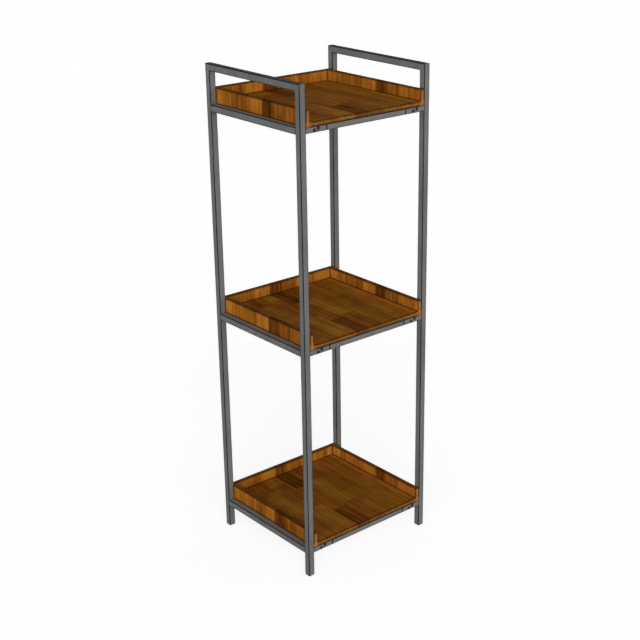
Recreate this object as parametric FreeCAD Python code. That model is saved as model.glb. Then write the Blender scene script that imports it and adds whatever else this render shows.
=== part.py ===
"""Open shelving tower: two welded tube side frames, knock-down cross rails and three wooden trays.

Millimetres. X is the width, -Y is the front and +Z is up.
The origin lies on the floor, at the middle of the footprint.
"""
import FreeCAD, Part
import math
import os

# Footprint, over the outsides of the legs
unit_width = 700.0
unit_depth = 630.0

# Heights: floor to lowest cross rail, rail to the panel below it, and upper lips to the top bars
floor_clearance = 111.0
bay_height = 900.0
hand_gap_height = 74.0
level_names = ("lower", "middle", "upper")

# Square tube of the legs, top bars and side rails
leg_size = 30.0
leg_wall = 2.0

# Square tube of the cross rails and of the stubs that carry them
rail_size = 25.0
rail_wall = 2.5
stub_length = 105.0
splice_gap = 2.5

# Round outer corners of all the frame's tubes
tube_corner_radius = 2.5

# Sleeve inside each seam of a cross rail
sleeve_clearance = 0.25
sleeve_wall = 3.0
sleeve_grip = 45.0
sleeve_end_gap = 20.0

# Countersunk screws that hold a stub on its sleeve, one low and one high
splice_screw_radius = 3.0
splice_screw_head_radius = 6.0
splice_screw_length = 12.0
splice_screw_along = 10.0
splice_screw_up = 3.8

# Tray boards, how far they drop between the side rails, and the stopped tongues that join them
board_thickness = 20.0
lip_rise = 50.0
board_arris = 1.2
tray_clearance = 0.5
tray_drop = 2.0
tongue_depth_share = 0.28
tongue_thickness_share = 0.33
tongue_setback = 14.0
tongue_clearance = 0.2

# Pan head screws that come up through the cross rails into the trays
tray_screw_radius = 2.2
tray_screw_head_radius = 4.2
tray_screw_head_height = 2.4
tray_screw_bite = 13.0
tray_screw_place_share = 0.85

# Finned plugs in the open ends of the legs
plug_clearance = 0.2
plug_base = 4.0
plug_wall = 2.5
plug_fin_height = 1.2
plug_fin_reach = 1.4
plug_fin_pitch = 5.0
plug_fin_count = 3

# Screws and their holes are drawn with few flat sides
fastener_sides = 10
screw_clearance = 0.15
cut_overrun = 5.0

# Heights and places that follow from the sizes above
level_pitch = board_thickness + bay_height + rail_size
tray_levels = [floor_clearance + rail_size + step * level_pitch for step in range(len(level_names))]
lip_height = board_thickness + lip_rise
frame_above_tray = lip_height + hand_gap_height + leg_size
unit_height = tray_levels[-1] + frame_above_tray
half_width = unit_width / 2
half_depth = unit_depth / 2
leg_x = half_width - leg_size / 2
leg_y = half_depth - leg_size / 2
rail_y = half_depth - rail_size / 2
frame_inside = half_width - leg_size
seam_x = frame_inside - stub_length
rail_end_x = seam_x - splice_gap
tray_half_width = frame_inside - tray_clearance
panel_half_width = tray_half_width - board_thickness
panel_back = half_depth - board_thickness
tongue_depth = tongue_depth_share * board_thickness
tongue_thickness = tongue_thickness_share * board_thickness
left_right = (("left", -1), ("right", 1))
front_back = (("front", -1), ("back", 1))

ORIGIN = FreeCAD.Vector(0, 0, 0)
X_AXIS = FreeCAD.Vector(1, 0, 0)
Y_AXIS = FreeCAD.Vector(0, 1, 0)
Z_AXIS = FreeCAD.Vector(0, 0, 1)


# Shapes used throughout

def point(x, y, z):
    return FreeCAD.Vector(x, y, z)


def moved(shape, x, y, z):
    copy = shape.copy()
    copy.translate(point(x, y, z))
    return copy


def turned(shape, axis, degrees):
    """A copy of the shape, turned about an axis through the origin."""
    copy = shape.copy()
    copy.rotate(ORIGIN, axis, degrees)
    return copy


def box(low, high):
    size = high.sub(low)
    return Part.makeBox(size.x, size.y, size.z, low)


def polygon_face(corners):
    return Part.Face(Part.makePolygon(corners + corners[:1]))


def mirrored_span(side_x, near, far):
    """Low and high X of a stretch that lies on one side of the unit."""
    return sorted((side_x * near, side_x * far))


def rounded_square(size, radius):
    """Square face with round corners, centred on the Z axis."""
    flat = size / 2 - radius
    bulge = flat + radius * math.sqrt(0.5)
    edges = []
    for quarter in range(4):
        side = Part.LineSegment(point(size / 2, -flat, 0), point(size / 2, flat, 0))
        corner = Part.Arc(point(size / 2, flat, 0), point(bulge, bulge, 0), point(flat, size / 2, 0))
        edges += [turned(curve.toShape(), Z_AXIS, 90 * quarter) for curve in (side, corner)]
    return Part.Face(Part.Wire(edges))


def square_prism(size, bottom, top):
    return box(point(-size / 2, -size / 2, bottom), point(size / 2, size / 2, top))


def frame_tube(size, wall, length):
    """Hollow square tube that rises along Z from the origin."""
    outside = rounded_square(size, tube_corner_radius).extrude(point(0, 0, length))
    return outside.cut(square_prism(size - 2 * wall, -cut_overrun, length + cut_overrun))


def lying_along_x(tube, start):
    return moved(turned(tube, Y_AXIS, 90), start, 0, 0)


def lying_along_y(tube, start):
    return moved(turned(tube, X_AXIS, -90), 0, start, 0)


def faceted_turning(outline):
    """Solid about the Z axis from radius and height pairs, drawn with few flat sides."""
    turns = [2 * math.pi * step / fastener_sides for step in range(fastener_sides)]
    rings = [[point(radius * math.cos(turn), radius * math.sin(turn), height) for turn in turns]
             for radius, height in outline]
    faces = [polygon_face(rings[0]), polygon_face(rings[-1])]
    for ring, following in zip(rings, rings[1:]):
        for step in range(fastener_sides):
            before = step - 1
            faces.append(polygon_face([ring[before], ring[step], following[step], following[before]]))
    return Part.Solid(Part.makeShell(faces)).removeSplitter()


# Side frames

def mitre_prism(side_y, spare_corner):
    """Prism on one side of the 45 degree mitre between a leg and its top bar."""
    outer = half_depth + cut_overrun
    inner = half_depth - leg_size - cut_overrun
    high = unit_height + cut_overrun
    low = unit_height - leg_size - cut_overrun
    corner = {"inside": (inner, high), "outside": (outer, low)}[spare_corner]
    start = -half_width - cut_overrun
    outline = [point(start, side_y * y, z) for y, z in ((outer, high), (inner, low), corner)]
    return polygon_face(outline).extrude(point(unit_width + 2 * cut_overrun, 0, 0))


def leg(side_x, side_y):
    tube = moved(frame_tube(leg_size, leg_wall, unit_height), side_x * leg_x, side_y * leg_y, 0)
    return tube.cut(mitre_prism(side_y, "inside"))


def top_bar(side_x):
    tube = lying_along_y(frame_tube(leg_size, leg_wall, unit_depth), -half_depth)
    bar = moved(tube, side_x * leg_x, 0, unit_height - leg_size / 2)
    for _, side_y in front_back:
        bar = bar.cut(mitre_prism(side_y, "outside"))
    return bar


def side_rail(side_x, level):
    """Tube between two legs, a little higher than the tray's underside, so that the tray can't slide off."""
    reach = half_depth - leg_size
    tube = lying_along_y(frame_tube(leg_size, leg_wall, 2 * reach), -reach)
    return moved(tube, side_x * leg_x, 0, level + tray_drop - leg_size / 2)


def foot_plug(side_x, side_y):
    """Moulded cup, level with the end of the leg, with thin fins that grip the tube."""
    fin_size = leg_size - 2 * leg_wall - 2 * plug_clearance
    body_size = fin_size - 2 * plug_fin_reach
    height = plug_base + plug_fin_count * plug_fin_pitch
    plug = square_prism(body_size, 0, height).fuse(square_prism(fin_size, 0, plug_base))
    for step in range(plug_fin_count):
        fin_top = plug_base + (step + 1) * plug_fin_pitch
        plug = plug.fuse(square_prism(fin_size, fin_top - plug_fin_height, fin_top))
    hollow = square_prism(body_size - 2 * plug_wall, plug_base, height + cut_overrun)
    return moved(plug.cut(hollow).removeSplitter(), side_x * leg_x, side_y * leg_y, 0)


# Cross rails, with the stubs, sleeves and screws of their splices

def splice_screw(room):
    """Countersunk screw with its head's face at the origin and its shank down -Z, and room around it."""
    head = splice_screw_head_radius + room
    shank = splice_screw_radius + room
    return faceted_turning([(head, 0), (shank, shank - head), (shank, -splice_screw_length - room)])


def splice_screws(side_x, side_y, level, room):
    """The two screws of one stub, driven in from its outer face: one low, the other high beside it."""
    driven = turned(splice_screw(room), X_AXIS, -90 * side_y)
    middle_x = side_x * (seam_x + stub_length / 2)
    middle_z = level - rail_size / 2
    return [moved(driven,
                  middle_x - up_down * side_y * splice_screw_along,
                  side_y * half_depth,
                  middle_z + up_down * splice_screw_up) for up_down in (-1, 1)]


def at_rail(tube, side_y, level):
    return moved(tube, 0, side_y * rail_y, level - rail_size / 2)


def rail_stub(side_x, side_y, level):
    start, end = mirrored_span(side_x, seam_x, frame_inside)
    tube = at_rail(lying_along_x(frame_tube(rail_size, rail_wall, end - start), start), side_y, level)
    return tube.cut(splice_screws(side_x, side_y, level, screw_clearance))


def splice_sleeve(side_x, side_y, level):
    """Plain square tube that fills the rail's end and most of the stub."""
    start, end = mirrored_span(side_x, rail_end_x - sleeve_grip, frame_inside - sleeve_end_gap)
    size = rail_size - 2 * rail_wall - 2 * sleeve_clearance
    bore = square_prism(size - 2 * sleeve_wall, -cut_overrun, end - start + cut_overrun)
    tube = square_prism(size, 0, end - start).cut(bore)
    sleeve = at_rail(lying_along_x(tube, start), side_y, level)
    return sleeve.cut(splice_screws(side_x, side_y, level, screw_clearance))


def cross_rail(side_y, level):
    tube = lying_along_x(frame_tube(rail_size, rail_wall, 2 * rail_end_x), -rail_end_x)
    return at_rail(tube, side_y, level).cut(tray_screws(side_y, level, screw_clearance))


# Trays

def tray_screw(room):
    """Pan head screw that rises along Z, with the seat of its head at the origin, and room around it."""
    head = tray_screw_head_radius + room
    shank = tray_screw_radius + room
    tip = rail_size + tray_screw_bite + room
    crown = head - tray_screw_head_height / 2
    return faceted_turning([(crown, -tray_screw_head_height), (head, -tray_screw_head_height / 2),
                            (head, 0), (shank, 0), (shank, tip)])


def tray_screws(side_y, level, room):
    """The two screws of one cross rail, under the middle of the back lip or as far from the front edge."""
    reach = tray_screw_place_share * (rail_end_x - sleeve_grip)
    from_middle = half_depth - board_thickness / 2
    return [moved(tray_screw(room), side_x * reach, side_y * from_middle, level - rail_size)
            for _, side_x in left_right]


def panel_tongue(level, room):
    """Slab whose rim is the panel's tongue on three sides; it stops short of the front."""
    reach = panel_half_width + tongue_depth + room
    half_thickness = tongue_thickness / 2 + room
    middle = level + board_thickness / 2
    return box(point(-reach, tongue_setback - half_depth - room, middle - half_thickness),
               point(reach, panel_back + tongue_depth + room, middle + half_thickness))


def back_lip_tongue(level, room):
    """Slab whose ends are the back lip's tongues; it stops short of the lip's top."""
    reach = panel_half_width + tongue_depth + room
    half_thickness = tongue_thickness / 2 + room
    middle = half_depth - board_thickness / 2
    return box(point(-reach, middle - half_thickness, level + board_thickness - room),
               point(reach, middle + half_thickness, level + lip_height - tongue_setback + room))


def tray_panel(level):
    """Flat board with an eased front edge."""
    top = level + board_thickness
    outline = [point(-panel_half_width, y, z) for y, z in (
        (panel_back, level), (board_arris - half_depth, level), (-half_depth, level + board_arris),
        (-half_depth, top - board_arris), (board_arris - half_depth, top), (panel_back, top))]
    board = polygon_face(outline).extrude(point(2 * panel_half_width, 0, 0))
    return board.fuse(panel_tongue(level, 0)).cut(tray_screws(-1, level, screw_clearance))


def lip_board(length):
    """Upright board along Y with eased top edges; its foot starts at the origin."""
    outline = [point(x, 0, z) for x, z in (
        (0, 0), (board_thickness, 0), (board_thickness, lip_height - board_arris),
        (board_thickness - board_arris, lip_height), (board_arris, lip_height),
        (0, lip_height - board_arris))]
    return polygon_face(outline).extrude(point(0, length, 0))


def side_lip(side_x, level):
    start, _ = mirrored_span(side_x, panel_half_width, tray_half_width)
    board = moved(lip_board(unit_depth), start, -half_depth, level)
    return board.cut([panel_tongue(level, tongue_clearance), back_lip_tongue(level, tongue_clearance)])


def back_lip(level):
    board = turned(lip_board(2 * panel_half_width), Z_AXIS, 90)
    board = moved(board, panel_half_width, panel_back, level).fuse(back_lip_tongue(level, 0))
    return board.cut([panel_tongue(level, tongue_clearance)] + tray_screws(1, level, screw_clearance))


# All pieces by name

def single_solid(shape):
    if len(shape.Solids) != 1:
        raise ValueError(f"a piece came out as {len(shape.Solids)} solids")
    return shape.removeSplitter().Solids[0]


pieces = {}
groups = {"foot_plugs": [], "splice_screws": [], "tray_screws": []}

for side_name, side_x in left_right:
    pieces[f"top_bar_{side_name}"] = top_bar(side_x)
    for face_name, side_y in front_back:
        pieces[f"leg_{face_name}_{side_name}"] = leg(side_x, side_y)
        groups["foot_plugs"].append(foot_plug(side_x, side_y))

for level_name, level in zip(level_names, tray_levels):
    pieces[f"{level_name}_panel"] = tray_panel(level)
    pieces[f"{level_name}_lip_back"] = back_lip(level)
    for side_name, side_x in left_right:
        pieces[f"{level_name}_lip_{side_name}"] = side_lip(side_x, level)
        pieces[f"{level_name}_side_rail_{side_name}"] = side_rail(side_x, level)
    for face_name, side_y in front_back:
        pieces[f"{level_name}_{face_name}_rail"] = cross_rail(side_y, level)
        groups["tray_screws"] += tray_screws(side_y, level, 0)
        for side_name, side_x in left_right:
            place = (side_x, side_y, level)
            pieces[f"{level_name}_{face_name}_stub_{side_name}"] = rail_stub(*place)
            pieces[f"{level_name}_{face_name}_sleeve_{side_name}"] = splice_sleeve(*place)
            groups["splice_screws"] += splice_screws(*place, 0)

os.makedirs("parts", exist_ok=True)
for name, shape in pieces.items():
    single_solid(shape).exportStep(f"parts/{name}.step")
for name, shapes in groups.items():
    Part.makeCompound([single_solid(shape) for shape in shapes]).exportStep(f"parts/{name}.step")
print(len(pieces) + len(groups), "nodes")
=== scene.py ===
"""Looks of an open shelving tower: grey powder-coated tube, butcher-block trays and blackened screws.

Metres, in the frame's own axes: X is the width, -Y is the front and +Z is up.
"""
import math

import bpy
from mathutils import Matrix, Vector


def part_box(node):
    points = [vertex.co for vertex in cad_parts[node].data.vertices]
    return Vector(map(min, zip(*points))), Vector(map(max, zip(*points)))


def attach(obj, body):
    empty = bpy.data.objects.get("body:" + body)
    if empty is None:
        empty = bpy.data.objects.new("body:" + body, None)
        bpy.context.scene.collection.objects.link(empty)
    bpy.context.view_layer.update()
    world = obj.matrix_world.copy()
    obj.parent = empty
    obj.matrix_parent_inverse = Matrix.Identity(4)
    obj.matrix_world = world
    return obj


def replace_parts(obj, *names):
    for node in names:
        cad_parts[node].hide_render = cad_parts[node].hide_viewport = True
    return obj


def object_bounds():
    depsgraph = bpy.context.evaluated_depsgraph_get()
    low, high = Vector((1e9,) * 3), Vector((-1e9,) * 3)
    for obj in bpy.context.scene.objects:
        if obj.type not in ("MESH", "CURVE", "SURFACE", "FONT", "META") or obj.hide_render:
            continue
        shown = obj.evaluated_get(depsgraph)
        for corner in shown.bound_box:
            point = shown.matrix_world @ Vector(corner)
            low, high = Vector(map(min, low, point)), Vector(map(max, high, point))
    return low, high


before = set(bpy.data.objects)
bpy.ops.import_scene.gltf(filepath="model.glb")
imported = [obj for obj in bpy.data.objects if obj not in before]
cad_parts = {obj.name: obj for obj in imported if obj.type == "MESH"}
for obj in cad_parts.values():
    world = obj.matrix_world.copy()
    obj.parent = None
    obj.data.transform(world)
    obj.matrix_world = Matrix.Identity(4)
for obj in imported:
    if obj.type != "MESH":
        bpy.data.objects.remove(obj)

CAD_LOW, CAD_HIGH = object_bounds()
MM = 0.001
FULL_TURN = 2 * math.pi
LEVELS = ("lower", "middle", "upper")
LEFT_RIGHT = (("left", -1), ("right", 1))
FRONT_BACK = (("front", -1), ("back", 1))
X_AXIS = Vector((1, 0, 0))
Y_AXIS = Vector((0, 1, 0))
Z_AXIS = Vector((0, 0, 1))

# Camera: where the photograph was taken from, with its frame in pixels
PHOTO_PIXELS = 640
FOCAL_PIXELS = 1299.1
MIDDLE_COLUMN = 375.4
CAMERA_PLACE = (-3.4537, -4.2286, 3.1694)
CAMERA_YAW = math.radians(-41.791)
CAMERA_PITCH = math.radians(21.271)
SENSOR_WIDTH = 36.0

# Light: a band round the horizon, stronger in front, a wide soft key from the front left, and a dim sky
BAND_LEVEL = 3.05
BAND_TOP = 0.45
BAND_FRONT_GAIN = 0.20
SKY_LEVEL = 0.05
KEY_LEVEL = 2.7
KEY_TURN = math.radians(36)
KEY_RISE = math.radians(17)
KEY_REACH = math.radians(40)
WHITE = (1.0, 1.0, 1.0, 1.0)
FLOOR_COLOUR = (0.50, 0.50, 0.50, 1.0)
FLOOR_GLOW = 0.79
FLOOR_REACH = 60.0


# Node trees

# Sockets of a mix node: the factor and the pair that it mixes, as numbers and as colours
MIX_NUMBERS = (0, 2, 3)
MIX_COLOURS = (0, 6, 7)
MIX_COLOUR_OUTPUT = 2


class Nodes:
    """A node tree, with short calls that add a node and return one of its outputs."""

    def __init__(self, tree):
        self.tree = tree

    def feed(self, socket, value):
        if isinstance(value, bpy.types.NodeSocket):
            self.tree.links.new(value, socket)
        else:
            socket.default_value = value

    def add(self, kind, inputs=None, output=0, **settings):
        node = self.tree.nodes.new("ShaderNode" + kind)
        for name, value in settings.items():
            setattr(node, name, value)
        for name, value in (inputs or {}).items():
            self.feed(node.inputs[name], value)
        return node.outputs[output]

    def math(self, operation, *values):
        return self.add("Math", dict(enumerate(values)), operation=operation)

    def vector_math(self, operation, *values, output="Vector"):
        return self.add("VectorMath", dict(enumerate(values)), output, operation=operation)

    def split(self, vector):
        """The vector's parts, by the names X, Y and Z."""
        return self.add("SeparateXYZ", {0: vector}).node.outputs

    def joined(self, *parts):
        """A vector from its parts; one that isn't given is 0."""
        return self.add("CombineXYZ", dict(enumerate(parts)))

    def rescaled(self, value, low, high, to_low=0.0, to_high=1.0):
        """The value carried from one range to another along a smooth step."""
        inputs = {"Value": value, "From Min": low, "From Max": high, "To Min": to_low, "To Max": to_high}
        return self.add("MapRange", inputs, interpolation_type="SMOOTHSTEP")

    def noise(self, place, scale, **inputs):
        """Noise with so many grains to the metre along each axis."""
        stretched = self.vector_math("MULTIPLY", place, scale)
        inputs = {name.capitalize(): value for name, value in inputs.items()}
        return self.add("TexNoise", {"Vector": stretched, "Scale": 1.0, **inputs})

    def steps(self, value, stops, interpolation="LINEAR"):
        """Colour ramp from pairs of position and colour."""
        colour = self.add("ValToRGB", {"Fac": value})
        ramp = colour.node.color_ramp
        ramp.interpolation = interpolation
        while len(ramp.elements) < len(stops):
            ramp.elements.new(1.0)
        for element, (position, shade) in zip(ramp.elements, stops):
            element.position = position
            element.color = (*shade, 1.0)
        return colour

    def mixed(self, factor, first, second):
        """A number between two others."""
        return self.add("Mix", dict(zip(MIX_NUMBERS, (factor, first, second))))

    def blend(self, factor, first, second):
        """A colour between two others."""
        inputs = dict(zip(MIX_COLOURS, (factor, first, second)))
        return self.add("Mix", inputs, MIX_COLOUR_OUTPUT, data_type="RGBA")

    def seen_directly(self):
        """1 for rays that show the background itself: from the camera, a mirror or glass."""
        rays = self.add("LightPath").node.outputs
        glossy_or_clear = self.math("MAXIMUM", rays["Is Glossy Ray"], rays["Is Transmission Ray"])
        return self.math("MAXIMUM", rays["Is Camera Ray"], glossy_or_clear)


# What the masks of a surface go by
BEVEL_SAMPLES = 6
OCCLUSION_SAMPLES = 8
# Cosine between the eased and the true normal, at an edge and on a flat face
EDGE_COSINES = (0.985, 0.9995)
# Largest part of the normal along any axis, on a slanted face and on a straight one
SLANT_PARTS = (0.980, 0.998)
# Part of the normal along an axis on a face that is turned that way, and on one that is squarely so
TURNED = 0.5
SQUARE = 0.9
# Share of open surroundings, inside a corner and away from it
OPEN_SHARES = (0.55, 0.95)
# Where an edge's wear starts and is full across a tube, as shares of its width from the middle
LONG_EDGE_SHARES = (0.360, 0.440)
RAGGED_SHARE = 0.05


class Surface(Nodes):
    """A material around one principled shader, placed by the object's own coordinates."""

    def __init__(self, name):
        self.material = bpy.data.materials.new(name)
        self.material.use_nodes = True
        super().__init__(self.material.node_tree)
        self.shader = self.tree.nodes["Principled BSDF"].inputs
        self.place = self.add("TexCoord", output="Object")
        self.share = self.split(self.add("TexCoord", output="Generated"))
        self.normal = self.add("NewGeometry", output="True Normal")

    def set(self, **inputs):
        for name, value in inputs.items():
            self.feed(self.shader[name.replace("_", " ")], value)

    def eased_normal(self, radius):
        """The normal as it would be with the outside edges rounded by the radius."""
        return self.add("Bevel", {"Radius": radius}, samples=BEVEL_SAMPLES)

    def edge(self, radius):
        """0 on flat faces, rising to 1 at the outside edges that lie within the radius."""
        cosine = self.vector_math("DOT_PRODUCT", self.eased_normal(radius), self.normal, output="Value")
        return self.rescaled(cosine, *EDGE_COSINES, 1.0, 0.0)

    def long_edges(self, axis, ragged):
        """1 along the four long edges of a square tube along the axis, 0 on the flats between them."""
        shares = [self.share[name] for name in "XYZ" if name != axis]
        across = [self.math("ABSOLUTE", self.math("SUBTRACT", share, 0.5)) for share in shares]
        strayed = self.math("MULTIPLY", self.math("SUBTRACT", ragged, 0.5), RAGGED_SHARE)
        return self.rescaled(self.math("ADD", self.math("MINIMUM", *across), strayed), *LONG_EDGE_SHARES)

    def slanted(self):
        """1 on faces that lie along no axis, such as a tube's round corners and a board's eased edges."""
        along = self.split(self.vector_math("ABSOLUTE", self.normal))
        most = self.math("MAXIMUM", self.math("MAXIMUM", along["X"], along["Y"]), along["Z"])
        return self.rescaled(most, *SLANT_PARTS, 1.0, 0.0)

    def crevice(self, reach):
        """1 in inside corners, falling to 0 at that distance from them."""
        openness = self.add("AmbientOcclusion", {"Distance": reach}, output="AO", samples=OCCLUSION_SAMPLES)
        return self.rescaled(openness, *OPEN_SHARES, 1.0, 0.0)

    def relief(self, height, depth, edge_radius):
        """Bump of that depth, over edges eased by the radius."""
        eased = self.eased_normal(edge_radius)
        bump = {"Height": height, "Distance": depth, "Strength": 1.0, "Normal": eased}
        self.set(Normal=self.add("Bump", bump))


# Camera, light and floor

def add_object(name, data):
    made = bpy.data.objects.new(name, data)
    bpy.context.scene.collection.objects.link(made)
    return made


def add_camera():
    data = bpy.data.cameras.new("camera")
    data.sensor_width = SENSOR_WIDTH
    data.lens = SENSOR_WIDTH * FOCAL_PIXELS / PHOTO_PIXELS
    data.shift_x = 0.5 - MIDDLE_COLUMN / PHOTO_PIXELS
    camera = add_object("camera", data)
    camera.location = CAMERA_PLACE
    camera.rotation_euler = (math.pi / 2 - CAMERA_PITCH, 0, CAMERA_YAW)
    bpy.context.scene.camera = camera


def add_world():
    world = bpy.data.worlds.new("studio")
    world.use_nodes = True
    nodes = Nodes(world.node_tree)
    direction = nodes.add("TexCoord", output="Generated")
    toward = nodes.split(direction)
    band = nodes.rescaled(toward["Z"], 0.0, BAND_TOP, BAND_LEVEL, 0.0)
    front = nodes.math("MULTIPLY_ADD", toward["Y"], -BAND_FRONT_GAIN, 1.0)
    outward = math.cos(KEY_RISE)
    key_axis = (-math.sin(KEY_TURN) * outward, -math.cos(KEY_TURN) * outward, math.sin(KEY_RISE))
    from_key = nodes.vector_math("DOT_PRODUCT", direction, key_axis, output="Value")
    key = nodes.rescaled(from_key, math.cos(KEY_REACH), 1.0, SKY_LEVEL, SKY_LEVEL + KEY_LEVEL)
    light = nodes.math("MULTIPLY_ADD", band, front, key)
    background = world.node_tree.nodes["Background"].inputs
    background["Color"].default_value = WHITE
    nodes.feed(background["Strength"], nodes.mixed(nodes.seen_directly(), light, 1.0))
    bpy.context.scene.world = world


def add_floor():
    mesh = bpy.data.meshes.new("floor")
    corners = ((-1, -1), (1, -1), (1, 1), (-1, 1))
    vertices = [(x * FLOOR_REACH, y * FLOOR_REACH, CAD_LOW.z) for x, y in corners]
    mesh.from_pydata(vertices, [], [(0, 1, 2, 3)])
    surface = Surface("studio_floor")
    surface.set(Base_Color=FLOOR_COLOUR, Roughness=1.0, Specular_IOR_Level=0.0, Emission_Color=WHITE)
    surface.set(Emission_Strength=surface.math("MULTIPLY", surface.seen_directly(), FLOOR_GLOW))
    mesh.materials.append(surface.material)
    add_object("floor", mesh)


# Materials

# Ranges of a noise that are carried to a full scale, from the softest to the hardest
ROUGHNESS_SPREAD = (0.25, 0.75)
SOFT_SPREAD = (0.30, 0.70)
STREAK_SPREAD = (0.32, 0.68)
TONE_SPREAD = (0.35, 0.65)
WEAR_AND_SHADE_SPREAD = (0.30, 0.60)
PORE_SPREAD = (0.60, 0.70)

# Powder coat

PAINT_DARK = (0.130, 0.130, 0.129, 1.0)
PAINT_LIGHT = (0.164, 0.164, 0.162, 1.0)
# Near black of worn paint, also used for painted shade in corners, on the tops of the top bars and round
# the screws
PAINT_WORN_AND_SHADED = (0.005, 0.005, 0.005, 1.0)
# Painted light: faces of the side rails that look up are lightened towards this grey, by this share
TOP_LIGHT_COLOUR = (0.40, 0.40, 0.39, 1.0)
TOP_LIGHT_SHARE = 0.36
# Painted shade: faces of the top bars that look up are darkened by this share
TOP_SHADE_SHARE = 0.30
CLOUD = {"scale": (9, 9, 4), "detail": 4.0}
CLOUD_WEIGHT = 0.6
SPECK = {"scale": (240, 240, 90), "detail": 5.0, "roughness": 0.7}
SPECK_WEIGHT = 0.4
PEEL = {"scale": (620, 620, 620), "detail": 2.0}
PEEL_DEPTH = 0.12 * MM
PAINT_EDGE = 0.6 * MM
# Strength of the tube's dark wear and of the painted shade round the screws
PAINT_WEAR_AND_SHADE = (0.88, 1.0)
PAINT_ROUGHNESS = (0.84, 0.96)
PAINT_SPECULAR = 0.006
# Painted shade in inside corners: how far it reaches and how dark it gets
CORNER_SHADE_REACH = 5 * MM
CORNER_SHADE_STRENGTH = 0.65

# Splices: where the seam is, how far the screws lie from the middle of a stub, the wear at the seam and the
# painted shade round the screws
STUB_LOW, STUB_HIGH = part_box("lower_front_stub_right")
SPLICE_X = (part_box("lower_front_rail")[1].x + STUB_LOW.x) / 2
SPLICE_WEAR = (2.0 * MM, 4.0 * MM)
SPLICE_SCREW_ALONG = 10.0 * MM
SPLICE_SCREW_UP = 3.8 * MM
SCREW_SHADE = (8.0 * MM, 11.0 * MM)
SCREW_SHADE_RAGGED = 3.0 * MM


def screw_rings(surface, ragged):
    """1 around the two screw heads in the outer face of a stub, 0 away from them: painted shade where a
    countersink's shadow would fall.
    """
    axes = surface.split(surface.place)
    side_x = surface.math("SIGN", axes["X"])
    side_y = surface.math("SIGN", axes["Y"])
    height = STUB_HIGH.z - STUB_LOW.z
    from_middle = surface.math("MULTIPLY_ADD", side_x, -(STUB_LOW.x + STUB_HIGH.x) / 2, axes["X"])
    along = surface.math("MULTIPLY", surface.math("MULTIPLY", from_middle, side_y), -1.0)
    up = surface.math("MULTIPLY_ADD", surface.share["Z"], height, -height / 2)
    spot = surface.joined(along, up)
    screw = Vector((SPLICE_SCREW_ALONG, SPLICE_SCREW_UP, 0))
    reaches = [surface.vector_math("DISTANCE", spot, place, output="Value") for place in (screw, -screw)]
    nearest = surface.math("MULTIPLY_ADD", ragged, SCREW_SHADE_RAGGED, surface.math("MINIMUM", *reaches))
    facing = surface.split(surface.normal)["Y"]
    outer = surface.math("GREATER_THAN", surface.math("MULTIPLY", facing, side_y), TURNED)
    return surface.math("MULTIPLY", surface.rescaled(nearest, *SCREW_SHADE, 1.0, 0.0), outer)


def tube_wear_and_shade(surface, tube_axis, speck):
    """Dark, worn paint along a tube's edges and beside a splice, and painted shade round its screws, broken
    up by the specks.
    """
    from_middle = surface.math("ABSOLUTE", surface.split(surface.place)["X"])
    from_splice = surface.math("ABSOLUTE", surface.math("SUBTRACT", from_middle, SPLICE_X))
    at_splice = surface.rescaled(from_splice, *SPLICE_WEAR, 1.0, 0.0)
    darkened = surface.math("MAXIMUM", surface.long_edges(tube_axis, speck), at_splice)
    if tube_axis == "X":
        # Painted shade round the screws of the stubs
        darkened = surface.math("MAXIMUM", darkened, screw_rings(surface, speck))
    return surface.math("MULTIPLY", darkened, surface.rescaled(speck, *WEAR_AND_SHADE_SPREAD, *PAINT_WEAR_AND_SHADE))


def powder_coat(name, tube_axis=None, top_colour=TOP_LIGHT_COLOUR, top_share=0.0):
    """Matte grey powder coat: orange peel, a cloudy tone, dark worn edges and painted shade in the inside
    corners.

    Faces that look up take on a share of the top colour, as painted light where that colour is paler and
    painted shade where it is darker.
    """
    surface = Surface(name)
    cloud = surface.noise(surface.place, **CLOUD)
    speck = surface.noise(surface.place, **SPECK)
    tone = surface.math("MULTIPLY_ADD", speck, SPECK_WEIGHT, surface.math("MULTIPLY", cloud, CLOUD_WEIGHT))
    colour = surface.blend(surface.rescaled(tone, *TONE_SPREAD), PAINT_DARK, PAINT_LIGHT)
    # Faces that look up: painted light towards a paler top colour, painted shade towards a darker one
    if top_share:
        upward = surface.rescaled(surface.split(surface.normal)["Z"], TURNED, SQUARE)
        colour = surface.blend(surface.math("MULTIPLY", upward, top_share), colour, top_colour)
    if tube_axis:
        colour = surface.blend(tube_wear_and_shade(surface, tube_axis, speck), colour, PAINT_WORN_AND_SHADED)
    # Painted shade: inside corners go near black, where shade falls
    corner_shade = surface.math("MULTIPLY", surface.crevice(CORNER_SHADE_REACH), CORNER_SHADE_STRENGTH)
    surface.set(Base_Color=surface.blend(corner_shade, colour, PAINT_WORN_AND_SHADED))
    surface.set(Roughness=surface.rescaled(speck, *ROUGHNESS_SPREAD, *PAINT_ROUGHNESS))
    surface.set(Specular_IOR_Level=PAINT_SPECULAR)
    surface.relief(surface.noise(surface.place, **PEEL), PEEL_DEPTH, PAINT_EDGE)
    return surface.material


# Butcher block

# Staves, by their places across a board: start in millimetres, tone at the board's ends,
# tone in the middle, and a share that sets the stave's joints and figure
STAVES = (
    (-360, 0.80, 0.50, 0.15),
    (-330, 0.60, 0.55, 0.34),
    (-250, 0.57, 0.69, 0.58),
    (-200, 0.49, 0.70, 0.70),
    (-155, 0.67, 0.50, 0.80),
    (-65, 0.23, 0.48, 0.47),
    (8, 0.45, 0.63, 0.56),
    (85, 0.57, 0.53, 0.95),
    (140, 0.56, 0.51, 0.30),
    (190, 0.63, 0.66, 0.66),
    (265, 0.76, 0.72, 0.88),
)
STAVE_SPAN = 720 * MM
JOINT_REACH = 135 * MM
JOINT_SHIFT = 250 * MM
SEAM_HALF = 0.45 * MM
# Neighbouring staves' shares differ by more than this
SEAM_CHANGE = 0.01
SIDE_LIP_SHIFT = -95 * MM

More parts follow.
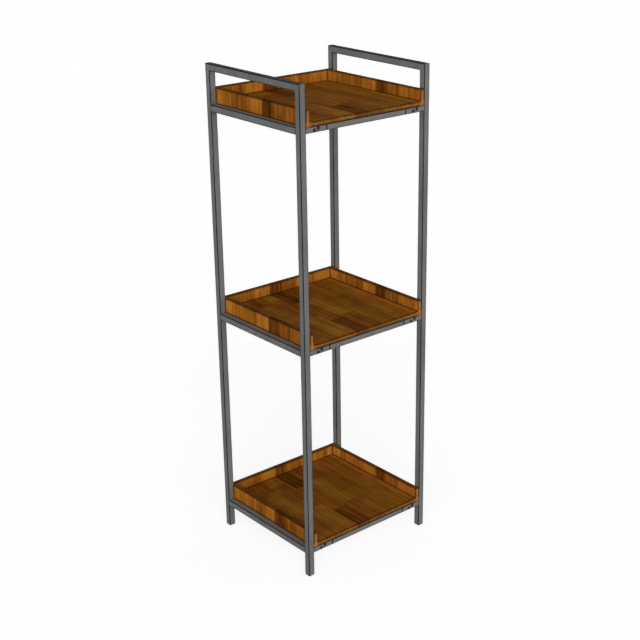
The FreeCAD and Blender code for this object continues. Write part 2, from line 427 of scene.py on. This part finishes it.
# Grain: each stave, and the middle length of a jointed one, lies at a place of its own in the noises
STAVE_FIGURE = 97.0
LENGTH_FIGURE = 31.0
PANEL_LOW, PANEL_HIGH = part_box("lower_panel")
BOARD = PANEL_HIGH.z - PANEL_LOW.z
PITH_SPREAD = 700 * MM
PITH_DEPTH = 45 * MM
RING_PITCH = 3.4 * MM
RING_WANDER = 3.0
RING_WAVE = (-0.9, 0.9)
WANDER = {"scale": (9, 1.6, 9), "detail": 2.0}
FIGURE = {"scale": (44, 2.4, 44), "detail": 3.0, "distortion": 1.2}
STREAK = {"scale": (125, 4, 125), "detail": 4.0, "roughness": 0.6}
FIBRE = {"scale": (700, 15, 700), "detail": 3.0, "roughness": 0.65}
PORE = {"scale": (900, 34, 900), "detail": 2.0}
STAIN = {"scale": (11, 11, 11), "detail": 3.0}
WARMTH = {"scale": (26, 1.5, 26), "detail": 2.0}
GROWTH_WEIGHT = 0.12
FIGURE_WEIGHT = 0.20
STREAK_WEIGHT = 0.24
FIBRE_WEIGHT = 0.24
STAIN_WEIGHT = 0.14

# Colours of the wood, and how strongly each covers what lies under it
WOOD_SHADES = (
    (0.00, (0.045, 0.012, 0.0013)),
    (0.28, (0.120, 0.037, 0.0034)),
    (0.55, (0.255, 0.088, 0.0087)),
    (0.78, (0.385, 0.148, 0.0150)),
    (1.00, (0.500, 0.220, 0.0300)),
)
OLIVE_TINT = (0.92, 1.00, 0.85, 1.0)
RUST_TINT = (1.10, 0.95, 1.10, 1.0)
SEAM_COLOUR = (0.018, 0.005, 0.0007, 1.0)
PORE_STRENGTH = 0.40
SEAM_STRENGTH = 0.60
END_COLOUR = (0.055, 0.052, 0.027, 1.0)
PANEL_END_STRENGTH = 0.46
LIP_END_STRENGTH = 0.40
PALE_COLOUR = (0.36, 0.20, 0.085, 1.0)
PALE_STRENGTH = 0.28
# Painted light: tone added to a board to make up for the light it lacks, on the panel's top for facing up
# and on the right and back lips for standing inside the tray
PANEL_LIGHT_LIFT = 0.115
LEFT_LIP_LIGHT_LIFT = 0.0
RIGHT_LIP_LIGHT_LIFT = 0.06
BACK_LIP_LIGHT_LIFT = 0.06

# Edges darkened, partly worn and partly painted shade, painted shade in inside corners, and the finish
EDGE_COLOUR = (0.045, 0.008, 0.0006, 1.0)
EDGE_REACH = 11.5 * MM
CORNER_REACH = 6 * MM
WOOD_WEAR_AND_SHADE = (0.80, 0.97)
WOOD_ROUGHNESS = (0.78, 0.94)
WOOD_SPECULAR = 0.015
FIBRE_RISE = 0.6
PORE_SINK = 0.7
SEAM_SINK = 1.5
WOOD_RELIEF = 0.12 * MM
WOOD_EDGE = 0.7 * MM

# Free stretch of a front face, which lies flush with no other board: its axis, and the shares at its ends
LIP_LOW, LIP_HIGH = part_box("lower_lip_left")
PANEL_FLUSH_SHARE = 0.022
PAST_TOP_SHARE = 1.1
PANEL_FREE = ("X", PANEL_FLUSH_SHARE, 1 - PANEL_FLUSH_SHARE)
SIDE_LIP_FREE = ("Z", BOARD / (LIP_HIGH.z - LIP_LOW.z), PAST_TOP_SHARE)
# Share of the wear and painted shade that a flush front goes without
FLUSH_SHARE = 0.75


def stave_ramp(surface, across):
    """Tones and figure share of the stave at a place across the board."""
    share = surface.math("MULTIPLY_ADD", across, 1 / STAVE_SPAN, 0.5)
    stops = [(0.5 + start * MM / STAVE_SPAN, tones) for start, *tones in STAVES]
    return surface.add("SeparateColor", {0: surface.steps(share, stops, "CONSTANT")}).node.outputs


def side_seam(surface, across):
    """1 on the line where two staves lie side by side."""
    places = [surface.math("ADD", across, shift) for shift in (-SEAM_HALF, SEAM_HALF)]
    beside = [stave_ramp(surface, place)["Blue"] for place in places]
    change = surface.math("ABSOLUTE", surface.math("SUBTRACT", *beside))
    return surface.math("GREATER_THAN", change, SEAM_CHANGE)


def butt_joints(surface, stave, along):
    """Masks of a stave in three lengths: 1 on its middle length, and 1 on the two joints beside that."""
    middle = surface.math("MULTIPLY_ADD", stave["Blue"], JOINT_SHIFT, -JOINT_SHIFT / 2)
    from_middle = surface.math("ABSOLUTE", surface.math("SUBTRACT", along, middle))
    from_joint = surface.math("ABSOLUTE", surface.math("SUBTRACT", from_middle, JOINT_REACH))
    inner = surface.math("LESS_THAN", from_middle, JOINT_REACH)
    return inner, surface.math("LESS_THAN", from_joint, SEAM_HALF)


def growth_rings(surface, stave, across, depth_share, grown):
    """Waves from 0 to 1 across the tree's rings, around a pith of the stave's own below the board."""
    pith = surface.math("MULTIPLY_ADD", stave["Blue"], PITH_SPREAD, -PITH_SPREAD / 2)
    from_pith = surface.math("SUBTRACT", across, pith)
    above_pith = surface.math("MULTIPLY_ADD", depth_share, BOARD, PITH_DEPTH)
    radius = surface.vector_math("LENGTH", surface.joined(from_pith, above_pith), output="Value")
    wander = surface.math("MULTIPLY", surface.noise(grown, **WANDER), RING_WANDER)
    turns = surface.math("MULTIPLY_ADD", radius, 1 / RING_PITCH, wander)
    wave = surface.math("SINE", surface.math("MULTIPLY", turns, FULL_TURN))
    return surface.rescaled(wave, *RING_WAVE)


def flush_front(surface, axis, low, high):
    """1 on a front face outside its free stretch, where it lies flush beside another board."""
    front = surface.math("LESS_THAN", surface.split(surface.normal)["Y"], -SQUARE)
    free = surface.math("COMPARE", surface.share[axis], (low + high) / 2, (high - low) / 2)
    return surface.math("MULTIPLY", front, surface.math("SUBTRACT", 1.0, free))


def board_wear_and_shade(surface, streak, free_front):
    """Darkening at a board's edges, partly worn and partly painted shade, and painted shade in its inside
    corners, broken up by streaks and weaker on a flush front.
    """
    # Painted shade: inside corners darken, and the edge darkening reaches across narrow front faces
    corner = surface.math("MAXIMUM", surface.slanted(), surface.crevice(CORNER_REACH))
    edge = surface.math("MAXIMUM", surface.edge(EDGE_REACH), corner)
    wear_and_shade = surface.math("MULTIPLY", edge, surface.rescaled(streak, *WEAR_AND_SHADE_SPREAD, *WOOD_WEAR_AND_SHADE))
    if free_front:
        kept = surface.math("MULTIPLY_ADD", flush_front(surface, *free_front), -FLUSH_SHARE, 1.0)
        wear_and_shade = surface.math("MULTIPLY", wear_and_shade, kept)
    return wear_and_shade


def stave_wood(name, across_axis, along_axis, light_lift, end_strength,
               direction=1, offset=0.0, jointed=False, free_front=None):
    """Oiled butcher block: staves side by side, with butt joints on a board that is long enough for any."""
    surface = Surface(name)
    axes = surface.split(surface.place)
    third_axis = ({"X", "Y", "Z"} - {across_axis, along_axis}).pop()
    across = surface.math("MULTIPLY_ADD", axes[across_axis], direction, offset)
    along = axes[along_axis]

    stave = stave_ramp(surface, across)
    seam = side_seam(surface, across)
    tone = stave["Red"]
    noise_place = surface.math("MULTIPLY", stave["Blue"], STAVE_FIGURE)
    if jointed:
        inner, joint = butt_joints(surface, stave, along)
        seam = surface.math("MAXIMUM", seam, joint)
        tone = surface.mixed(inner, stave["Red"], stave["Green"])
        noise_place = surface.math("MULTIPLY_ADD", inner, LENGTH_FIGURE, noise_place)
    board = surface.joined(across, along, axes[third_axis])
    shift = surface.joined(noise_place, noise_place, noise_place)
    grown = surface.vector_math("ADD", board, shift)

    growth = growth_rings(surface, stave, across, surface.share[third_axis], grown)
    figure = surface.rescaled(surface.noise(grown, **FIGURE), *SOFT_SPREAD)
    streak = surface.noise(grown, **STREAK)
    fibre = surface.noise(grown, **FIBRE)
    stain = surface.rescaled(surface.noise(surface.place, **STAIN), *SOFT_SPREAD)
    grain = (
        (growth, GROWTH_WEIGHT),
        (figure, FIGURE_WEIGHT),
        (surface.rescaled(streak, *STREAK_SPREAD), STREAK_WEIGHT),
        (fibre, FIBRE_WEIGHT),
        (stain, STAIN_WEIGHT),
    )
    for part, weight in grain:
        tone = surface.math("ADD", tone, surface.math("MULTIPLY_ADD", part, weight, -weight / 2))
    warmth = surface.rescaled(surface.noise(grown, **WARMTH), *TONE_SPREAD)
    # The board's painted light lift is added to its tone here
    colour = surface.steps(surface.math("ADD", tone, light_lift), WOOD_SHADES)
    colour = surface.vector_math("MULTIPLY", colour, surface.blend(warmth, OLIVE_TINT, RUST_TINT))

    pore = surface.rescaled(surface.noise(grown, **PORE), *PORE_SPREAD)
    facing = surface.split(surface.vector_math("ABSOLUTE", surface.normal))
    covers = (
        (pore, PORE_STRENGTH, SEAM_COLOUR),
        (seam, SEAM_STRENGTH, SEAM_COLOUR),
        (surface.math("GREATER_THAN", facing[along_axis], SQUARE), end_strength, END_COLOUR),
        (surface.math("GREATER_THAN", facing[across_axis], SQUARE), PALE_STRENGTH, PALE_COLOUR),
    )
    for mask, strength, cover in covers:
        colour = surface.blend(surface.math("MULTIPLY", mask, strength), colour, cover)
    surface.set(Base_Color=surface.blend(board_wear_and_shade(surface, streak, free_front), colour, EDGE_COLOUR))
    surface.set(Roughness=surface.rescaled(streak, *ROUGHNESS_SPREAD, *WOOD_ROUGHNESS))
    surface.set(Specular_IOR_Level=WOOD_SPECULAR)

    sunk = surface.math("MULTIPLY_ADD", pore, PORE_SINK, surface.math("MULTIPLY", seam, SEAM_SINK))
    height = surface.math("MULTIPLY_ADD", fibre, FIBRE_RISE, surface.math("MULTIPLY", sunk, -1.0))
    surface.relief(height, WOOD_RELIEF, WOOD_EDGE)
    return surface.material


# Small metal and moulded pieces

STEEL_SHADES = ((0.007, 0.007, 0.008, 1.0), (0.016, 0.016, 0.017, 1.0))
STEEL_GRAIN = {"scale": (500, 500, 500), "detail": 4.0, "roughness": 0.6}
STEEL_DEPTH = 0.03 * MM
STEEL_SPECULAR = 0.20
PLASTIC_SHADES = ((0.018, 0.018, 0.019, 1.0), (0.030, 0.030, 0.031, 1.0))
PLASTIC_GRAIN = {"scale": (380, 380, 380), "detail": 4.0, "roughness": 0.6}
PLASTIC_DEPTH = 0.06 * MM
PLASTIC_SPECULAR = 0.25
SMALL_ROUGHNESS = (0.50, 0.68)
SMALL_EDGE = 0.3 * MM


def speckled(name, shades, grain, depth, specular):
    """A speckled tone with a fine relief."""
    surface = Surface(name)
    speck = surface.noise(surface.place, **grain)
    surface.set(Base_Color=surface.blend(surface.rescaled(speck, *SOFT_SPREAD), *shades))
    surface.set(Roughness=surface.rescaled(speck, *SOFT_SPREAD, *SMALL_ROUGHNESS))
    surface.set(Specular_IOR_Level=specular)
    surface.relief(speck, depth, SMALL_EDGE)
    return surface.material


# Finishes of the nodes, by a word in their names

UPRIGHT_PAINT = powder_coat("upright_powder_coat", "Z")
# Painted shade on the tops of the top bars, painted light on the tops of the side rails
TOP_SHADED_PAINT = powder_coat("top_shaded_powder_coat", "Y", top_colour=PAINT_WORN_AND_SHADED, top_share=TOP_SHADE_SHARE)
TOP_LIT_PAINT = powder_coat("top_lit_powder_coat", "Y", top_colour=TOP_LIGHT_COLOUR, top_share=TOP_LIGHT_SHARE)
WIDTH_PAINT = powder_coat("width_powder_coat", "X")
WELD_PAINT = powder_coat("weld_powder_coat")
BLACK_STEEL = speckled("blackened_steel", STEEL_SHADES, STEEL_GRAIN, STEEL_DEPTH, STEEL_SPECULAR)
PLUG_PLASTIC = speckled("plug_plastic", PLASTIC_SHADES, PLASTIC_GRAIN, PLASTIC_DEPTH, PLASTIC_SPECULAR)
SIDE_LIP = {
    "across_axis": "Y",
    "along_axis": "Z",
    "end_strength": LIP_END_STRENGTH,
    "direction": -1,
    "offset": SIDE_LIP_SHIFT,
    "free_front": SIDE_LIP_FREE,
}
FINISHES = {
    "panel": stave_wood("panel_staves", "X", "Y", PANEL_LIGHT_LIFT, PANEL_END_STRENGTH, jointed=True,
                        free_front=PANEL_FREE),
    "lip_left": stave_wood("left_lip_staves", light_lift=LEFT_LIP_LIGHT_LIFT, **SIDE_LIP),
    "lip_right": stave_wood("right_lip_staves", light_lift=RIGHT_LIP_LIGHT_LIFT, **SIDE_LIP),
    "lip_back": stave_wood("back_lip_staves", "X", "Z", BACK_LIP_LIGHT_LIFT, LIP_END_STRENGTH),
    "sleeve": BLACK_STEEL,
    "screws": BLACK_STEEL,
    "plugs": PLUG_PLASTIC,
    "leg": UPRIGHT_PAINT,
    "top_bar": TOP_SHADED_PAINT,
    "side_rail": TOP_LIT_PAINT,
}


def dress_nodes():
    """Gives each node its finish by a word in its name; what is left is the cross rails and their stubs."""
    for name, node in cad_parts.items():
        finish = next((material for word, material in FINISHES.items() if word in name), WIDTH_PAINT)
        node.data.materials.clear()
        node.data.materials.append(finish)


# Added pieces: each is one object made of many closed shells

SMOOTH_ANGLE = math.radians(35)


def shell_of_rings(rings):
    """Vertices and faces of a closed shell through rings of as many points each."""
    count = len(rings[0])
    last = (len(rings) - 1) * count
    faces = [tuple(reversed(range(count))), tuple(range(last, last + count))]
    for start in range(0, last, count):
        for step in range(count):
            following = (step + 1) % count
            faces.append((start + step, start + following, start + count + following, start + count + step))
    return [point for ring in rings for point in ring], faces


def add_piece(name, shells, material):
    """One piece that rides on the frame, from shells and the places where each stands."""
    vertices = []
    faces = []
    for (points, sides), place in shells:
        first = len(vertices)
        vertices += [place @ point for point in points]
        faces += [tuple(first + index for index in side) for side in sides]
    mesh = bpy.data.meshes.new(name)
    mesh.from_pydata(vertices, [], faces)
    mesh.polygons.foreach_set("use_smooth", [True] * len(mesh.polygons))
    mesh.set_sharp_from_angle(angle=SMOOTH_ANGLE)
    mesh.materials.append(material)
    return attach(add_object(name, mesh), "root")


# Screws, drawn with their heads up

SCREW_SIDES = 36
HEX_APOTHEM = 2.0 * MM
HEX_DEPTH = 2.4 * MM
CROSS_REACH = 2.1 * MM
CROSS_HALF = 0.55 * MM
CROSS_DEPTH = 1.3 * MM
TRAY_SCREW_HEAD = 4.2 * MM

# Outlines from the recess over the head to the tip: radius and height in millimetres
SPLICE_SCREW_OUTLINE = (
    (2.6, -0.05), (5.45, -0.05), (5.80, -0.35), (2.95, -3.2), (2.95, -11.2), (2.3, -11.9),
)
TRAY_SCREW_OUTLINE = (
    (2.35, 2.30), (3.20, 2.00), (3.85, 1.45), (4.15, 0.75), (4.20, 0.25), (4.05, 0.02), (2.10, 0.02),
    (2.10, -36.5), (0.50, -38.0),
)


def hexagon(angle):
    """Reach of a hex socket's wall at an angle."""
    from_flat = (angle + math.pi / 6) % (math.pi / 3) - math.pi / 6
    return HEX_APOTHEM / math.cos(from_flat)


def cross(angle):
    """Reach of a cross recess's wall at an angle."""
    from_arm = abs((angle + math.pi / 4) % (math.pi / 2) - math.pi / 4)
    if math.tan(from_arm) < CROSS_HALF / CROSS_REACH:
        return CROSS_REACH / math.cos(from_arm)
    return CROSS_HALF / math.sin(from_arm)


def circle(radius):
    """Reach of a round wall, which is the same at every angle."""
    return lambda angle: radius


def ring(reach, height):
    """Points at a height, as far from the axis as the reach says for each angle."""
    points = []
    for step in range(SCREW_SIDES):
        angle = FULL_TURN * step / SCREW_SIDES
        points.append(Vector((reach(angle) * math.cos(angle), reach(angle) * math.sin(angle), height)))
    return points


def screw_shell(recess, recess_depth, outline):
    """Screw with a driver's recess in its head and an outline in millimetres."""
    top = outline[0][1] * MM
    rings = [ring(recess, top - recess_depth), ring(recess, top)]
    rings += [ring(circle(radius * MM), height * MM) for radius, height in outline]
    return shell_of_rings(rings)


def add_splice_screws():
    """Two countersunk socket screws in the outer face of each stub, one low and one high beside it."""
    shell = screw_shell(hexagon, HEX_DEPTH, SPLICE_SCREW_OUTLINE)
    shells = []
    for level in LEVELS:
        for face, side_y in FRONT_BACK:
            driven = Matrix.Rotation(-side_y * math.pi / 2, 4, "X")
            for side, _ in LEFT_RIGHT:
                low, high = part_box(f"{level}_{face}_stub_{side}")
                middle = (low + high) / 2
                middle.y = (low if side_y < 0 else high).y
                for up_down in (-1, 1):
                    shift = Vector((-up_down * side_y * SPLICE_SCREW_ALONG, 0, up_down * SPLICE_SCREW_UP))
                    shells.append((shell, Matrix.Translation(middle + shift) @ driven))
    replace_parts(add_piece("splice_socket_screws", shells, BLACK_STEEL), "splice_screws")


def add_tray_screws():
    """Pan head screws up through the cross rails, half a lip's thickness in from the front and back."""
    shell = screw_shell(cross, CROSS_DEPTH, TRAY_SCREW_OUTLINE)
    head_down = Matrix.Rotation(math.pi, 4, "X")
    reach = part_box("tray_screws")[1].x - TRAY_SCREW_HEAD
    shells = []
    for level in LEVELS:
        lip_low, lip_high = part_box(f"{level}_lip_back")
        from_middle = CAD_HIGH.y - (lip_high.y - lip_low.y) / 2
        for face, side_y in FRONT_BACK:
            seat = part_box(f"{level}_{face}_rail")[0].z
            for _, side_x in LEFT_RIGHT:
                place = Vector((side_x * reach, side_y * from_middle, seat))
                shells.append((shell, Matrix.Translation(place) @ head_down))
    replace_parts(add_piece("tray_pan_screws", shells, BLACK_STEEL), "tray_screws")


# Weld beads in the inside corners of the side frames

BEAD_LEG = 2.4 * MM
BEAD_RIPPLE = 0.30 * MM
BEAD_PITCH = 2.4 * MM
BEAD_STEPS = 6
BEAD_SINK = 0.3 * MM
BEAD_BULGE_SHARE = 0.15
BEAD_END_SHARE = 0.45
BEAD_INSET = 3.2 * MM
BEAD_ROUND = 6


def bead_section(leg, first_side, second_side):
    """Round of points across a bead: two sunk sides, and a bulging face between their far ends."""
    points = [-BEAD_SINK * (first_side + second_side), leg * first_side - BEAD_SINK * second_side]
    for turn in range(BEAD_ROUND + 1):
        share = turn / BEAD_ROUND
        bulge = BEAD_BULGE_SHARE * leg * math.sin(math.pi * share)
        points.append((leg * (1 - share) + bulge) * first_side + (leg * share + bulge) * second_side)
    points.append(leg * second_side - BEAD_SINK * first_side)
    return points


def bead_shell(start, end, first_side, second_side):
    """Rippled fillet along a corner line; its sides lie on the two faces that leave the line that way."""
    count = round((end - start).length / BEAD_PITCH) * BEAD_STEPS
    rings = []
    for step in range(count + 1):
        ripple = abs(math.sin(math.pi * step / BEAD_STEPS))
        from_end = min(step, count - step) / BEAD_STEPS
        taper = BEAD_END_SHARE + (1 - BEAD_END_SHARE) * min(1.0, from_end)
        leg = (BEAD_LEG + BEAD_RIPPLE * ripple) * taper
        base = start.lerp(end, step / count)
        rings.append([base + offset for offset in bead_section(leg, first_side, second_side)])
    if first_side.cross(second_side).dot(end - start) < 0:
        rings.reverse()
    return shell_of_rings(rings)


def side_rail_beads(low, high):
    """Above and below each end of a side rail, on the legs."""
    for end_y, inward in ((low.y, Y_AXIS), (high.y, -Y_AXIS)):
        for edge_z, away in ((high.z, Z_AXIS), (low.z, -Z_AXIS)):
            start = Vector((low.x + BEAD_INSET, end_y, edge_z))
            end = Vector((high.x - BEAD_INSET, end_y, edge_z))
            yield bead_shell(start, end, inward, away)


def stub_beads(low, high, side_x, side_y):
    """Under a stub and behind it, on the inner face of its leg."""
    end_x = (low if side_x < 0 else high).x
    inner_y = (high if side_y < 0 else low).y
    inward = -side_x * X_AXIS
    front = Vector((end_x, low.y + BEAD_INSET, low.z))
    back = Vector((end_x, high.y - BEAD_INSET, low.z))
    yield bead_shell(front, back, inward, -Z_AXIS)
    bottom = Vector((end_x, inner_y, low.z + BEAD_INSET))
    top = Vector((end_x, inner_y, high.z - BEAD_INSET))
    yield bead_shell(bottom, top, inward, -side_y * Y_AXIS)


def top_bar_beads(low, high, side_name):
    """Under a top bar, where it turns into its two legs."""
    for face, side_y in FRONT_BACK:
        leg_low, leg_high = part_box(f"leg_{face}_{side_name}")
        inner_y = (leg_high if side_y < 0 else leg_low).y
        start = Vector((low.x + BEAD_INSET, inner_y, low.z))
        end = Vector((high.x - BEAD_INSET, inner_y, low.z))
        yield bead_shell(start, end, -Z_AXIS, -side_y * Y_AXIS)


def add_welds():
    beads = []
    for side, side_x in LEFT_RIGHT:
        beads += top_bar_beads(*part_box(f"top_bar_{side}"), side)
        for level in LEVELS:
            beads += side_rail_beads(*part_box(f"{level}_side_rail_{side}"))
            for face, side_y in FRONT_BACK:
                beads += stub_beads(*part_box(f"{level}_{face}_stub_{side}"), side_x, side_y)
    add_piece("frame_welds", [(bead, Matrix.Identity(4)) for bead in beads], WELD_PAINT)


add_camera()
add_world()
add_floor()
dress_nodes()
add_splice_screws()
add_tray_screws()
add_welds()

bpy.context.scene.view_settings.view_transform = "Standard"
